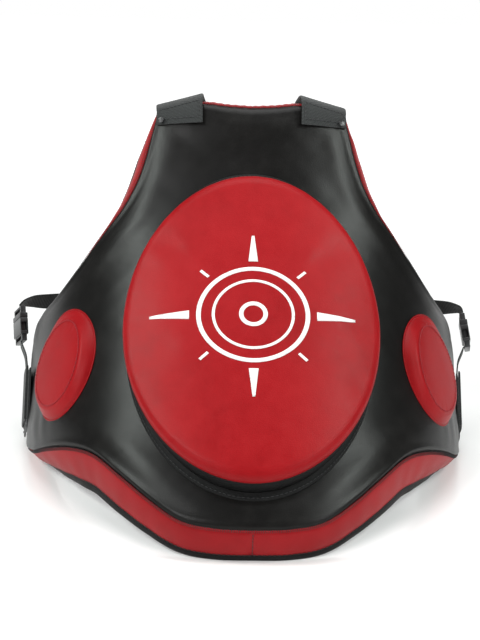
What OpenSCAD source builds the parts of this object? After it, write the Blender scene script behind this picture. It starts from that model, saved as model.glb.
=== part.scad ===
// Trainer's chest protector for boxing and martial arts: a padded leather shell that
// wraps the chest and ribs, with a raised oval chest pad, a round pad on each wing,
// webbing shoulder straps, side-release buckles and a waist belt.
// The shell is modelled standing on its hem on a flat floor, leaning back.
// The wearer's side faces +Y, the outer face of the chest pad faces -Y, +Z is up.

/* [Shell] */
// Half width of the shell at its widest line
half_w = 240; // [235:1:245]
// Depth from the front of the shell to the line where the wings would meet
depth = 280; // [270:1:290]
// Lean of the wearer's upright axis when the shell stands on its hem, degrees
lean = 31; // [30:0.5:32]
// Padding thickness at the middle of the chest
pad_mid = 34; // [30:1:38]
// Padding thickness at the rear edge of a wing
pad_wing = 24; // [20:1:26]
// Thickness of the leather skins
skin = 2; // [1.5:0.25:2.5]

/* [Chest pad] */
// Half width of the oval chest pad
chest_a = 117; // [112:1:120]
// Half height of the oval chest pad
chest_b = 161; // [150:1:163]
// Height of the chest pad's centre above the hem, along the shell
chest_z = 194; // [192:1:198]
// Height of the chest pad's rim off the shell
chest_h = 27; // [24:1:30]
// Extra height at the crown of the chest pad
chest_crown = 5; // [0:1:8]

/* [Side pads] */
// Half height of a side pad at its base
side_r = 58; // [50:1:59]
// Width of a side pad as a share of its height
side_w = 0.9; // [0.86:0.01:0.98]
// Height of a side pad off the shell
side_h = 7; // [6:1:12]
// Position of a side pad round the shell, degrees from the front
side_t = 51.5; // [50:0.5:53]
// Height of a side pad's centre above the hem, along the shell
side_z = 178; // [174:1:180]

/* [Webbing] */
// Width of the shoulder webbing
web_w = 50; // [45:1:52]
// Thickness of the webbing
web_t = 2.4; // [1.6:0.2:2.6]
// Width of the lower back webbing
low_w = 20; // [16:1:21]

/* [Side-release buckles] */
// Width of a buckle
bk_w = 29; // [28:1:31]
// Thickness of a buckle
bk_t = 9; // [8.5:0.5:10]
// Distance of the left buckle from the middle plane
bk_x_l = 251.5; // [250:0.1:256]
// Distance of the right buckle from the middle plane
bk_x_r = 252; // [250:0.1:256]
// Tilt of the left buckle, top outwards
bk_tilt_l = 5; // [0:1:8]
// Tilt of the right buckle, top outwards
bk_tilt_r = -8; // [-10:1:0]

/* [Waist belt] */
// Height of the waist belt behind the wearer
belt_h = 60; // [50:1:62]
// Height of the belt's sewn anchor on a wing
anchor_h = 68; // [64:1:70]
// How far the two belt ends lie over each other, each side of the middle
belt_lap = 45; // [35:1:48]

/* [Hidden] */
red = [0.66, 0.10, 0.13];
black = [0.10, 0.10, 0.10];
grey = [0.35, 0.35, 0.36];
foam_c = [0.80, 0.78, 0.70];

// Standing frame: y shift to the middle of the footprint box and height of the hem seam
mid_y = 206.5;
lift = 36.3;
module worn() translate([0, -mid_y, lift]) rotate([-lean, 0, 0]) children();
module standing() translate([0, -mid_y, 0]) children();

// ---- smooth curve through hand-picked knots ----
function cr(a, b, c, d, f) = 0.5 * (2 * b + (c - a) * f + (2 * a - 5 * b + 4 * c - d) * f * f
    + (3 * b - a - 3 * c + d) * f * f * f);
function path(k, s) = let (n = len(k) - 1, q = min(max(s, 0), 0.99999) * n, i = floor(q), f = q - i)
    cr(k[max(i - 1, 0)], k[i], k[i + 1], k[min(i + 2, n)], f);
function unit(v) = v / norm(v);

// ---- outer surface of the shell, worn frame; t is the angle round, z the height ----
function prof(z) = 0.275 * z - 0.000076 * z * z - 0.0000005 * z * z * z;
function dprof(z) = 0.275 - 0.000152 * z - 0.0000015 * z * z;
function surf(t, z) = [half_w * sin(t), prof(z) + depth * pow(1 - cos(t), 1.2), z];
function nrm(t, z) = let (a = half_w * cos(t), b = depth * 1.2 * pow(max(1 - cos(t), 1e-9), 0.2) * sin(t))
    unit([b, -a, a * dprof(z)]);

// ---- outline of the shell, knots as [angle, height] ----
hem_k = [[0, 0], [8, 1.5], [16, 9], [23.5, 30], [31, 55], [39, 79], [47.5, 90], [58, 95], [67, 98], [74.5, 107]];
side_k = [[74.5, 107], [79.5, 124], [81.5, 150], [81.5, 185], [80.5, 222], [76, 241], [67, 250], [58, 258],
    [50.5, 273], [44, 293], [37.5, 317], [33, 336], [29.3, 360], [27, 385], [25.5, 408], [24, 430]];
top_k = [[0, 435], [6, 436.5], [12, 439.5], [18, 436], [24, 430]];
nu = 36; nv = 16;
function sgn(x) = x < 0 ? -1 : 1;
function mir(p, s) = [s * p[0], p[1]];
function hemc(u) = mir(path(hem_k, abs(u)), sgn(u));
function topc(u) = mir(path(top_k, abs(u)), sgn(u));
function coons(u, v) = let (U = (u + 1) / 2, r = path(side_k, v), l = mir(r, -1))
    (1 - v) * hemc(u) + v * topc(u) + (1 - U) * l + U * r
    - (1 - U) * (1 - v) * hemc(-1) - U * (1 - v) * hemc(1) - (1 - U) * v * topc(-1) - U * v * topc(1);
TZ = [for (i = [0:nu]) [for (j = [0:nv]) coons(-1 + 2 * i / nu, j / nv)]];
P0 = [for (i = [0:nu]) [for (j = [0:nv]) surf(TZ[i][j][0], TZ[i][j][1])]];
N0 = [for (i = [0:nu]) [for (j = [0:nv]) nrm(TZ[i][j][0], TZ[i][j][1])]];
TK = [for (i = [0:nu]) [for (j = [0:nv]) pad_mid - (pad_mid - pad_wing) * pow(abs(TZ[i][j][0]) / 82, 1.5)]];
// outward direction in the surface, at right angles to the edge
function outw(a, b, t, n) = let (e = a - b, e1 = e - n * (e * n), tt = unit(t), e2 = e1 - tt * (e1 * tt)) unit(e2);
OH = [for (i = [0:nu]) outw(P0[i][0], P0[i][1], P0[min(i + 1, nu)][0] - P0[max(i - 1, 0)][0], N0[i][0])];
OT = [for (i = [0:nu]) outw(P0[i][nv], P0[i][nv - 1], P0[min(i + 1, nu)][nv] - P0[max(i - 1, 0)][nv], N0[i][nv])];
OR = [for (j = [0:nv]) outw(P0[nu][j], P0[nu - 1][j], P0[nu][min(j + 1, nv)] - P0[nu][max(j - 1, 0)], N0[nu][j])];
OL = [for (j = [0:nv]) outw(P0[0][j], P0[1][j], P0[0][min(j + 1, nv)] - P0[0][max(j - 1, 0)], N0[0][j])];
// how far the back edge stands outside the front edge
flare_k = [[0, 16], [1, 17], [2, 19], [3, 24], [4, 30], [5, 34], [6, 33], [7, 24], [8, 13], [9, 5.5]];
function flare(u) = path(flare_k, abs(u))[1];
function wt(k) = k == 0 ? 1 : k == 1 ? 0.4 : k == 2 ? 0.1 : 0;
// reach of the back edge along the armholes, most beside the neck
arm_k = [[0, 6.3], [1, 7], [2, 7.7], [3, 8.4], [4, 9], [5, 9], [6, 9], [7, 11], [8, 16], [9, 21.5], [10, 26], [11, 28.5], [12, 29.5],
    [13, 28], [14, 25], [15, 18.5], [16, 11]];
function sflare(j) = arm_k[j][1];
function soft(i, j) = (i == 0 || i == nu) && (j == 0 || j == nv) ? 0.72 : 1;
DE = [for (i = [0:nu]) [for (j = [0:nv]) soft(i, j) * (wt(j) * flare(-1 + 2 * i / nu) * OH[i]
    + wt(nv - j) * 8 * OT[i] + (wt(nu - i) * OR[j] + wt(i) * OL[j]) * sflare(j))]];
DU = [for (i = [0:nu]) [for (j = [0:nv]) soft(i, j) * (wt(j) * OH[i] + wt(nv - j) * OT[i]
    + wt(nu - i) * OR[j] + wt(i) * OL[j])]];
// point at share f of the thickness plus dm, drawn in from the edge by g
function q(i, j, f, dm, g) = P0[i][j] - N0[i][j] * (f * TK[i][j] + dm) + DE[i][j] * (f + dm / TK[i][j]) - DU[i][j] * g;

// ---- solids ----
function tri(a, b, c, d) = [[a, b, c], [a, c, d]];
function flat(l) = [for (a = l) each a];
module slab(f0, d0, f1, d1, g) {
    m = nv + 1; n = (nu + 1) * m;
    a = [for (i = [0:nu]) for (j = [0:nv]) q(i, j, f0, d0, g)];
    b = [for (i = [0:nu]) for (j = [0:nv]) q(i, j, f1, d1, g)];
    faces = flat([for (i = [0:nu - 1]) for (j = [0:nv - 1]) let (o = i * m + j)
            concat(tri(o, o + 1, o + m + 1, o + m), tri(n + o, n + o + m, n + o + m + 1, n + o + 1))]);
    ends = flat([for (i = [0:nu - 1]) let (o = i * m, p = i * m + nv)
            concat(tri(o, o + m, n + o + m, n + o), tri(n + p, n + p + m, p + m, p))]);
    sides = flat([for (j = [0:nv - 1]) let (o = nu * m + j)
            concat(tri(o, o + 1, n + o + 1, n + o), tri(n + j, n + j + 1, j + 1, j))]);
    polyhedron(points = concat(a, b), faces = concat(faces, ends, sides), convexity = 8);
}
// solid swept through a list of sections, each a ring of points
module sweep(s, closed = false) {
    k = len(s); m = len(s[0]);
    side = flat([for (i = [0:k - (closed ? 1 : 2)]) for (a = [0:m - 1])
            let (b = (a + 1) % m, i2 = (i + 1) % k) tri(i * m + a, i2 * m + a, i2 * m + b, i * m + b)]);
    caps = closed ? [] : concat([[for (a = [0:m - 1]) a]], [[for (a = [m - 1:-1:0]) (k - 1) * m + a]]);
    polyhedron(points = flat(s), faces = concat(side, caps), convexity = 8);
}
hem_ij = [for (i = [0:nu]) [i, 0]];
right_ij = [for (j = [0:nv]) [nu, j]];
top_ij = [for (i = [nu:-1:0]) [i, nv]];
left_ij = [for (j = [nv:-1:0]) [0, j]];
module edge(ij, f0, d0, f1, d1, g)
    sweep([for (p = ij) [q(p[0], p[1], f1, d1, g), q(p[0], p[1], f0, d0, g),
                q(p[0], p[1], f0, d0, 0), q(p[0], p[1], f1, d1, 0)]]);

module front_cover() color(black) worn() slab(0, 0, 0, skin, 0);
module outer_foam() color(foam_c) worn() slab(0, skin + 0.7, 0.78, 0, 5);
module inner_foam() color(foam_c) worn() slab(0.78, 0.3, 1, -skin - 0.3, 5);
module back_lining() color(black) worn() slab(1, -skin, 1, 0, 3);
module gusset(ij) color(red) worn() edge(ij, 0, skin + 0.3, 1, -6.3, 2.2);
module binding(ij) color(black) worn() edge(ij, 1, -6, 1, 0.5, 2.2);

// ---- chest pad, on the shell's outer surface ----
pt = 40; pr = 4;
function cp(r, k, h) = let (x = r * chest_a * sin(k * 360 / pt), z = chest_z + r * chest_b * cos(k * 360 / pt),
        t = asin(x / half_w)) surf(t, z) + nrm(t, z) * h;
function crown(r) = chest_crown * (1 - r * r);
// closed disc between two sets of rings; T and B hold a centre then the rings
module disc(T, B) {
    n = len(T[1]); m = len(T) - 1;
    pts = concat([T[0], B[0]], flat([for (r = [1:m]) T[r]]), flat([for (r = [1:m]) B[r]]));
    o = 2; p = 2 + m * n;
    fan = flat([for (k = [0:n - 1]) let (k2 = (k + 1) % n) [[0, o + k, o + k2], [1, p + k2, p + k]]]);
    rings = m < 2 ? [] : flat([for (r = [0:m - 2]) for (k = [0:n - 1]) let (k2 = (k + 1) % n, a = r * n, b = (r + 1) * n)
                concat(tri(o + a + k, o + b + k, o + b + k2, o + a + k2), tri(p + a + k, p + a + k2, p + b + k2, p + b + k))]);
    e = (m - 1) * n;
    rim = flat([for (k = [0:n - 1]) let (k2 = (k + 1) % n) tri(p + e + k, p + e + k2, o + e + k2, o + e + k)]);
    polyhedron(points = pts, faces = concat(fan, rings, rim), convexity = 4);
}
function crings(h0, hc, s) = concat([cp(0, 0, h0 + hc)], [for (r = [1:pr]) [for (k = [0:pt - 1])
            cp(s * r / pr, k, h0 + hc * (1 - pow(r / pr, 2)))]]);
module chest_pad_flange() color(black) worn()
    sweep([for (k = [0:pt - 1]) [cp(1.035, k, 0.3), cp(1.035, k, 1.6), cp(1.005, k, 1.6), cp(1.005, k, 0.3)]], closed = true);
module chest_pad_foam() color(foam_c) worn()
    disc(crings(chest_h - 2.6, chest_crown, 0.955), crings(1.3, 0, 0.975));
module chest_pad_sidewall() color(black) worn()
    sweep([for (k = [0:pt - 1]) [cp(1, k, 0.3), cp(0.985, k, chest_h - 4), cp(0.962, k, chest_h - 4), cp(0.98, k, 0.3)]], closed = true);
module chest_pad_face() color(red) worn()
    disc(crings(chest_h, chest_crown, 0.985), crings(chest_h - 2.3, chest_crown, 0.985));

// ---- side pads: round, with a flat face on the curved wing ----
st = 28;
sc = surf(side_t, side_z);
sn = unit(nrm(side_t, side_z) + [0, 0, 0.03]);
sw = unit([0, 0, 1] - sn * sn[2]);
su = cross(sw, sn);
// foot of the pad on the shell: a plane point pushed back onto the surface
function s_t(x) = asin(min(x / half_w, 0.9999));
function foot(r, k, h) = let (p = sc + su * (r * side_r * side_w * sin(k * 360 / st)) + sw * (r * side_r * cos(k * 360 / st)),
        p2 = p - sn * ((p[1] - surf(s_t(p[0]), p[2])[1]) / (sn[1] - depth / half_w * 1.2 * tan(s_t(p[0])) * sn[0])),
        t = s_t(p2[0])) surf(t, p2[2]) + nrm(t, p2[2]) * h;
function top_p(r, k, h, s) = let (f = foot(r, k, 0), d = (sc + sn * h - f) * sn) f + sn * d
    - (su * side_w * sin(k * 360 / st) + sw * cos(k * 360 / st)) * (r > 0 ? s : 0);
module mirror_left(m) if (m) mirror([1, 0, 0]) children(); else children();
module side_pad_foam(m) color(foam_c) worn() mirror_left(m)
    disc([top_p(0, 0, side_h - 2.3, 0), for (r = [1:2]) [for (k = [0:st - 1]) top_p(r / 2 * 0.915, k, side_h - 2.3, 8 * r / 2)]],
        [foot(0, 0, 1.1), for (r = [1:2]) [for (k = [0:st - 1]) foot(r / 2 * 0.915, k, 1.1)]]);
module side_pad_sidewall(m) color(red) worn() mirror_left(m)
    sweep([for (k = [0:st - 1]) [foot(1, k, 0.3), top_p(1, k, side_h - 2.3, 8), top_p(0.96, k, side_h - 2.3, 8), foot(0.96, k, 0.3)]], closed = true);
module side_pad_face(m) color(red) worn() mirror_left(m)
    disc([top_p(0, 0, side_h, 0), for (r = [1:2]) [for (k = [0:st - 1]) top_p(r / 2, k, side_h, 8.6 * r / 2)]],
        [top_p(0, 0, side_h - 2, 0), for (r = [1:2]) [for (k = [0:st - 1]) top_p(r / 2, k, side_h - 2, 8.6 * r / 2)]]);

// ---- webbing: flat strip along a path, w is the direction of its width ----
function strip(p, w, wide, thick) = let (n = len(p) - 1) [for (i = [0:n])
        let (t = unit(p[min(i + 1, n)] - p[max(i - 1, 0)]), a = unit(w[i] - t * (w[i] * t)), b = cross(t, a))
        [p[i] - a * wide / 2 - b * thick / 2, p[i] + a * wide / 2 - b * thick / 2,
            p[i] + a * wide / 2 + b * thick / 2, p[i] - a * wide / 2 + b * thick / 2]];
function along(k, n) = [for (i = [0:n]) path(k, i / n)];
// shoulder strap, right side, standing frame: over the neck edge, then down behind
sh_a = [64, 351, 330]; sh_b = [34, 393, 210];
sh_k = [[74, 275.1, 358.6], [74, 279.3, 367.9], [74, 286.3, 375.8], [74, 302, 378.5], [73, 320, 374], [70, 336, 363], sh_a];
sh_w = [[1, 0.33, -0.14], [1, 0.33, -0.18], [1, 0.33, -0.26], [1, 0.25, -0.3], [1, 0.15, -0.3], [1, 0.1, -0.26], [0.97, 0.084, -0.24]];
module shoulder_strap(m) color(black) standing() mirror_left(m)
    sweep(strip(concat(along(sh_k, 18), [sh_b]), concat(along(sh_w, 18), [[0.97, 0.084, -0.24]]), web_w, web_t));
module strap_rivets() color(grey) for (m = [false, true]) standing() mirror_left(m)
    translate([92.5, 278.7, 361.1]) rotate([-113, 0, 19]) cylinder(r = 3.2, h = 1.6, center = true, $fn = 24);
// slide adjuster: a loop round the straight run of the strap
module on_strap(s) {
    d = unit(sh_b - sh_a); a = unit([0.97, 0.084, -0.24] - d * ([0.97, 0.084, -0.24] * d)); b = cross(d, a);
    p = sh_a + (sh_b - sh_a) * s;
    multmatrix([[a[0], b[0], d[0], p[0]], [a[1], b[1], d[1], p[1]], [a[2], b[2], d[2], p[2]], [0, 0, 0, 1]]) children();
}
module strap_adjuster(m) color(black) standing() mirror_left(m) on_strap(0.42) difference() {
        translate([-web_w / 2 - 5, -4, -13]) cube([web_w + 10, 8, 26]);
        translate([-web_w / 2 - 0.8, -web_t / 2 - 0.4, -20]) cube([web_w + 1.6, web_t + 0.8, 40]);
        for (z = [-8.5, 1.5]) translate([-web_w / 2 - 0.8, -6, z]) cube([web_w + 1.6, 5, 7]);
    }
// patch that joins the straps behind the shoulder blades, two leather faces
module patch_shape(r) linear_extrude(height = 1.8, center = true) union() {
        square([116, 56], center = true);
        for (x = [-1, 1]) for (z = [-1, 1]) translate([x * 46, z * 20]) circle(r = 14 + r, $fn = 32);
    }
module on_patch(y) standing() translate([0, 398.5, 194]) rotate([19.3, 0, 0]) translate([0, y, 0]) rotate([90, 0, 0]) children();
module back_patch_outer() color(black) on_patch(2.7) patch_shape(0);
module back_patch_inner() color(black) on_patch(-2.7) patch_shape(0);

// ---- side-release buckles at the rear edge of each wing ----
bk_y = 277; bk_z = 261;
function bk_x(m) = m ? bk_x_l : bk_x_r;
module at_buckle(m) worn() mirror_left(m) translate([bk_x(m), bk_y, bk_z])
    rotate([0, m ? bk_tilt_l : bk_tilt_r, 0]) rotate([0, 0, m ? 68 : 80]) children();
mouth = bk_w - 5.4; gap_t = 6;
module buckle_socket(m) color(grey) at_buckle(m) difference() {
        union() {
            translate([-bk_w / 2, -bk_t / 2, -18.5]) cube([bk_w, bk_t, 18.5]);
            translate([-bk_w / 2 + 1, -3, -26]) cube([bk_w - 2, 6, 8]);
        }
        translate([-mouth / 2, -gap_t / 2, -16.5]) cube([mouth, gap_t, 30]);
        for (s = [-1, 1]) translate([s * bk_w / 2 - 4, -gap_t / 2, -15]) cube([8, gap_t, 10]);
        translate([-low_w / 2 - 0.6, -6, -24]) cube([low_w + 1.2, 12, 4]);
    }
module buckle_plug(m) color(black) at_buckle(m) difference() {
        union() {
            translate([-bk_w / 2, -bk_t / 2, 0.4]) cube([bk_w, bk_t, 5.6]);
            translate([-bk_w / 2 + 1, -3, 5.5]) cube([bk_w - 2, 6, 8.5]);
            translate([-2, -2, -13.5]) cube([4, 4, 14.5]);
        }
        translate([-low_w / 2 - 0.6, -6, 8]) cube([low_w + 1.2, 12, 3.6]);
    }
module prong(m, s) color(black) at_buckle(m) difference() {
        translate([s > 0 ? 6.9 : -11.3, -2.4, -14.5]) cube([4.4, 4.8, 14.5]);
        translate([s > 0 ? 3.9 : -8.9, -3, -11]) cube([5, 6, 8.5]);
    }
// short anchor webbing from the wing up to the socket's bar
module buckle_anchor(m) color(black) worn() mirror_left(m)
    sweep(strip(along([[241, 271, 202], [242, 272.5, 210], [244, 274.5, 220], [bk_x(m) - 2, bk_y, bk_z - 27.5]], 8), [for (i = [0:8]) [0.17, 1, 0]], low_w, 1.6));
// lower strap: from the plug's bar, over behind the wing, to the back patch
lo_w = [[0, 0.86, -0.5], [0.1, 0.8, -0.6], [0.2, 0.5, -0.8], [0.1, 0.3, -0.95], [0, 0.3, -0.95], [0, 0.33, -0.94],
    [0, 0.33, -0.94], [0, 0.33, -0.94], [0, 0.33, -0.94]];
function lo_k(m) = [[bk_x(m) + (m ? 1.2 : -2), 380.4, 130.2], [bk_x(m) - 4, 384, 135], [238, 389, 135.5], [220, 395, 134], [190, 400, 135.5], [150, 403, 146],
    [105, 404, 161], [66, 405.6, 173.3], [36, 404, 178]];
module lower_strap(m) color(black) standing() mirror_left(m) sweep(strip(along(lo_k(m), 28), along(lo_w, 28), low_w, 1.6));

// ---- waist belt: two ends that meet behind the wearer with hook and loop ----
belt_z = 169; anchor_z = 161;
function wing(t, z, h) = let (p = surf(t, z) + nrm(t, z) * h) [p[0], p[1], z];
function up(n) = [for (i = [0:n]) [0, 0, 1]];
module waist_anchor(m) color(black) worn() mirror_left(m)
    sweep(strip([for (i = [0:6]) wing(72.5 + i * 1.5, anchor_z, 2.7)], up(6), anchor_h, 2.2));
// path round the wing's rear edge, y is the depth of the straight run
function turn(y) = [wing(73.5, belt_z, 5.5), wing(77.5, belt_z, 5.5), wing(81.5, belt_z, 5.7), [243, y - 10, belt_z], [237.5, y - 3.2, belt_z],
    [226, y - 0.3, belt_z], [205, y, belt_z]];
module belt(y, x1) sweep(strip(concat(along(turn(y), 18), [[x1, y, belt_z]]), up(19), belt_h, 2.6));
module waist_belt_left() color(black) worn() mirror_left(true) belt(290, -belt_lap);
module waist_elastic_right() color(black) worn() belt(295.5, 95.3);
module waist_belt_end() color(black) worn() translate([-belt_lap, 294.2, belt_z - belt_h / 2]) cube([95 + belt_lap, 2.6, belt_h]);
module loop_patch() color(grey) worn() translate([-72, 291.5, belt_z - 26]) cube([115, 1.1, 52]);
module hook_patch() color(grey) worn() translate([-42, 292.9, belt_z - 26]) cube([74, 1.1, 52]);

front_cover();
outer_foam();
inner_foam();
back_lining();
gusset(hem_ij);  // hem_gusset
binding(hem_ij);  // hem_binding
gusset(left_ij);  // armhole_gusset_left
gusset(right_ij);  // armhole_gusset_right
binding(left_ij);  // armhole_binding_left
binding(right_ij);  // armhole_binding_right
gusset(top_ij);  // neck_gusset
binding(top_ij);  // neck_binding
chest_pad_flange();
chest_pad_foam();
chest_pad_sidewall();
chest_pad_face();
side_pad_foam(true);  // side_pad_foam_left
side_pad_foam(false);  // side_pad_foam_right
side_pad_sidewall(true);  // side_pad_sidewall_left
side_pad_sidewall(false);  // side_pad_sidewall_right
side_pad_face(true);  // side_pad_face_left
side_pad_face(false);  // side_pad_face_right
shoulder_strap(true);  // shoulder_strap_left
shoulder_strap(false);  // shoulder_strap_right
strap_rivets();
strap_adjuster(true);  // strap_adjuster_left
strap_adjuster(false);  // strap_adjuster_right
back_patch_outer();
back_patch_inner();
lower_strap(true);  // lower_strap_left
lower_strap(false);  // lower_strap_right
buckle_anchor(true);  // buckle_anchor_left
buckle_anchor(false);  // buckle_anchor_right
buckle_socket(true);  // buckle_socket_left
buckle_socket(false);  // buckle_socket_right
buckle_plug(true);  // buckle_plug_left
buckle_plug(false);  // buckle_plug_right
prong(true, -1);  // buckle_prong_front_left
prong(true, 1);  // buckle_prong_rear_left
prong(false, -1);  // buckle_prong_front_right
prong(false, 1);  // buckle_prong_rear_right
waist_anchor(true);  // waist_anchor_left
waist_anchor(false);  // waist_anchor_right
waist_belt_left();
waist_elastic_right();
waist_belt_end();
hook_patch();
loop_patch();
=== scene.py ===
import math

import bpy
import bmesh
import numpy as np
from mathutils import Matrix, Vector


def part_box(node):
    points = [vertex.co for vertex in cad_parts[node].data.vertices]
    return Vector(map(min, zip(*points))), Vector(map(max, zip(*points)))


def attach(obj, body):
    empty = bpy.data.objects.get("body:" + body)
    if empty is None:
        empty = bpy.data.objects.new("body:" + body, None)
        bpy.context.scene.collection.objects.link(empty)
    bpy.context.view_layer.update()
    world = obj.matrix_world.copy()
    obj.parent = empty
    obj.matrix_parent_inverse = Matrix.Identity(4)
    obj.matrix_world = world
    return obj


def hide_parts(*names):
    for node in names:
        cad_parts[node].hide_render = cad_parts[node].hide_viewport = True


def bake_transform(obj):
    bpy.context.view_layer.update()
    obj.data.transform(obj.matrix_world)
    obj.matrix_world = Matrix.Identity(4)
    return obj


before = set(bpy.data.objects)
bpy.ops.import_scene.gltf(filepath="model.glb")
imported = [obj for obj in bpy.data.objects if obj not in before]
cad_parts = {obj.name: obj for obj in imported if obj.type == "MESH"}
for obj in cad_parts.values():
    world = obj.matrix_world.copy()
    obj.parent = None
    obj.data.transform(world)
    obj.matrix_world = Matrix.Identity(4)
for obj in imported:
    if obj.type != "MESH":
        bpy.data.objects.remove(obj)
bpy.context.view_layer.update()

R = np.radians
MID_Y, LIFT, LEAN = 206.5, 36.3, 31.0
HALF_W, DEPTH, PAD_MID, PAD_WING = 240.0, 280.0, 34.0, 24.0
CA, CB, CZ, CH, CROWN = 117.0, 161.0, 194.0, 27.0, 5.0

# ------------------------------------------------------------------ camera
def camera():
    cam = bpy.data.objects.new("view_camera", bpy.data.cameras.new("view_camera"))
    bpy.context.scene.collection.objects.link(cam)
    cam.data.sensor_fit = "HORIZONTAL"
    cam.data.sensor_width = 36.0
    cam.data.lens = 105.0
    tgt = Vector((-0.0128, 0.1111 - MID_Y / 1000, 0.1993))
    az, el, dist, roll = R(-2.03), R(16.5), 1.316, R(1.45)
    pos = tgt + dist * Vector((math.sin(az) * math.cos(el), -math.cos(az) * math.cos(el), math.sin(el)))
    f = (tgt - pos).normalized()
    r = f.cross(Vector((0, 0, 1))).normalized()
    u = r.cross(f)
    r2 = r * math.cos(roll) + u * math.sin(roll)
    u2 = -r * math.sin(roll) + u * math.cos(roll)
    m = Matrix((r2, u2, -f)).transposed().to_4x4()
    m.translation = pos
    cam.matrix_world = m
    bpy.context.scene.camera = cam

camera()

# ------------------------------------------------------------------ node helpers
class Mat:
    def __init__(self, name, rough=0.5, spec=0.5):
        self.m = bpy.data.materials.new(name)
        self.m.use_nodes = True
        self.t = self.m.node_tree
        self.b = self.t.nodes["Principled BSDF"]
        self.b.inputs["Roughness"].default_value = rough
        self.b.inputs["Specular IOR Level"].default_value = spec

    def n(self, kind, **kw):
        nd = self.t.nodes.new(kind)
        for k, v in kw.items():
            if k in nd.inputs:
                nd.inputs[k].default_value = v
            else:
                setattr(nd, k, v)
        return nd

    def l(self, a, b):
        self.t.links.new(a, b)

    def coord(self, scale=(1, 1, 1), uv=False):
        tc = self.n("ShaderNodeTexCoord")
        mp = self.n("ShaderNodeMapping")
        mp.inputs["Scale"].default_value = scale
        self.l(tc.outputs["UV" if uv else "Object"], mp.inputs["Vector"])
        return mp.outputs["Vector"]

    def noise(self, vec, scale, detail=3.0, rough=0.55):
        nd = self.n("ShaderNodeTexNoise", Scale=scale, Detail=detail, Roughness=rough)
        self.l(vec, nd.inputs["Vector"])
        return nd.outputs["Fac"]

    def ramp(self, fac, stops):
        nd = self.n("ShaderNodeValToRGB")
        e = nd.color_ramp.elements
        while len(e) < len(stops):
            e.new(0.5)
        for el, (p, c) in zip(e, stops):
            el.position = p
            el.color = (*c, 1) if len(c) == 3 else (c[0],) * 3 + (1,)
        self.l(fac, nd.inputs["Fac"])
        return nd.outputs["Color"]

    def mathn(self, op, a, b=0.0, c=None):
        nd = self.n("ShaderNodeMath", operation=op)
        for i, x in enumerate((a, b) if c is None else (a, b, c)):
            if isinstance(x, (int, float)):
                nd.inputs[i].default_value = x
            else:
                self.l(x, nd.inputs[i])
        return nd.outputs[0]

    def mix(self, fac, a, b, mode="MIX"):
        nd = self.n("ShaderNodeMix", data_type="RGBA", blend_type=mode)
        for i, x in ((0, fac), (6, a), (7, b)):
            if isinstance(x, (int, float)):
                nd.inputs[i].default_value = x
            elif isinstance(x, tuple):
                nd.inputs[i].default_value = (*x, 1)
            else:
                self.l(x, nd.inputs[i])
        return nd.outputs[2]

    def bump(self, height, dist, strength=1.0, prev=None):
        nd = self.n("ShaderNodeBump", Strength=strength, Distance=dist)
        self.l(height, nd.inputs["Height"])
        if prev is not None:
            self.l(prev, nd.inputs["Normal"])
        return nd.outputs["Normal"]

    def done(self, color=None, rough=None, normal=None):
        if color is not None:
            self.l(color, self.b.inputs["Base Color"])
        if rough is not None:
            self.l(rough, self.b.inputs["Roughness"])
        if normal is not None:
            self.l(normal, self.b.inputs["Normal"])
        return self.m


def leather(name, dark, mid, light, r0, r1, grain=620.0, coat=0.0, bumpd=0.00022, spec=0.5, relief=0.35):
    m = Mat(name, 0.5, spec)
    v = m.coord()
    big = m.noise(v, 9.0, 4.0)
    med = m.noise(v, 70.0, 4.0, 0.6)
    vor = m.n("ShaderNodeTexVoronoi", Scale=grain, feature="DISTANCE_TO_EDGE", Randomness=0.9)
    m.l(v, vor.inputs["Vector"])
    cell = m.ramp(vor.outputs["Distance"], [(0.0, (0.0,)), (0.16, (1.0,))])
    fine = m.noise(v, grain * 2.2, 2.0)
    base = m.ramp(m.mathn("ADD", m.mathn("MULTIPLY", big, 0.65), m.mathn("MULTIPLY", med, 0.35)),
                  [(0.34, dark), (0.5, mid), (0.68, light)])
    base = m.mix(m.mathn("MULTIPLY", m.mathn("SUBTRACT", 1.0, cell), 0.45), base, dark)
    geo = m.n("ShaderNodeNewGeometry")
    edge = m.ramp(geo.outputs["Pointiness"], [(0.52, (0.0,)), (0.60, (1.0,))])
    base = m.mix(m.mathn("MULTIPLY", edge, 0.30), base, light)
    ro = m.n("ShaderNodeMapRange")
    m.l(m.mathn("ADD", m.mathn("MULTIPLY", med, 0.7), m.mathn("MULTIPLY", fine, 0.3)), ro.inputs[0])
    ro.inputs[1].default_value, ro.inputs[2].default_value = 0.3, 0.7
    ro.inputs[3].default_value, ro.inputs[4].default_value = r0, r1
    n1 = m.bump(med, 0.0006, relief)
    n2 = m.bump(m.mathn("ADD", m.mathn("MULTIPLY", cell, 0.8), m.mathn("MULTIPLY", fine, 0.4)), bumpd, 0.7, n1)
    m.b.inputs["Coat Weight"].default_value = coat
    m.b.inputs["Coat Roughness"].default_value = 0.28
    return m.done(base, ro.outputs[0], n2)


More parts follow.
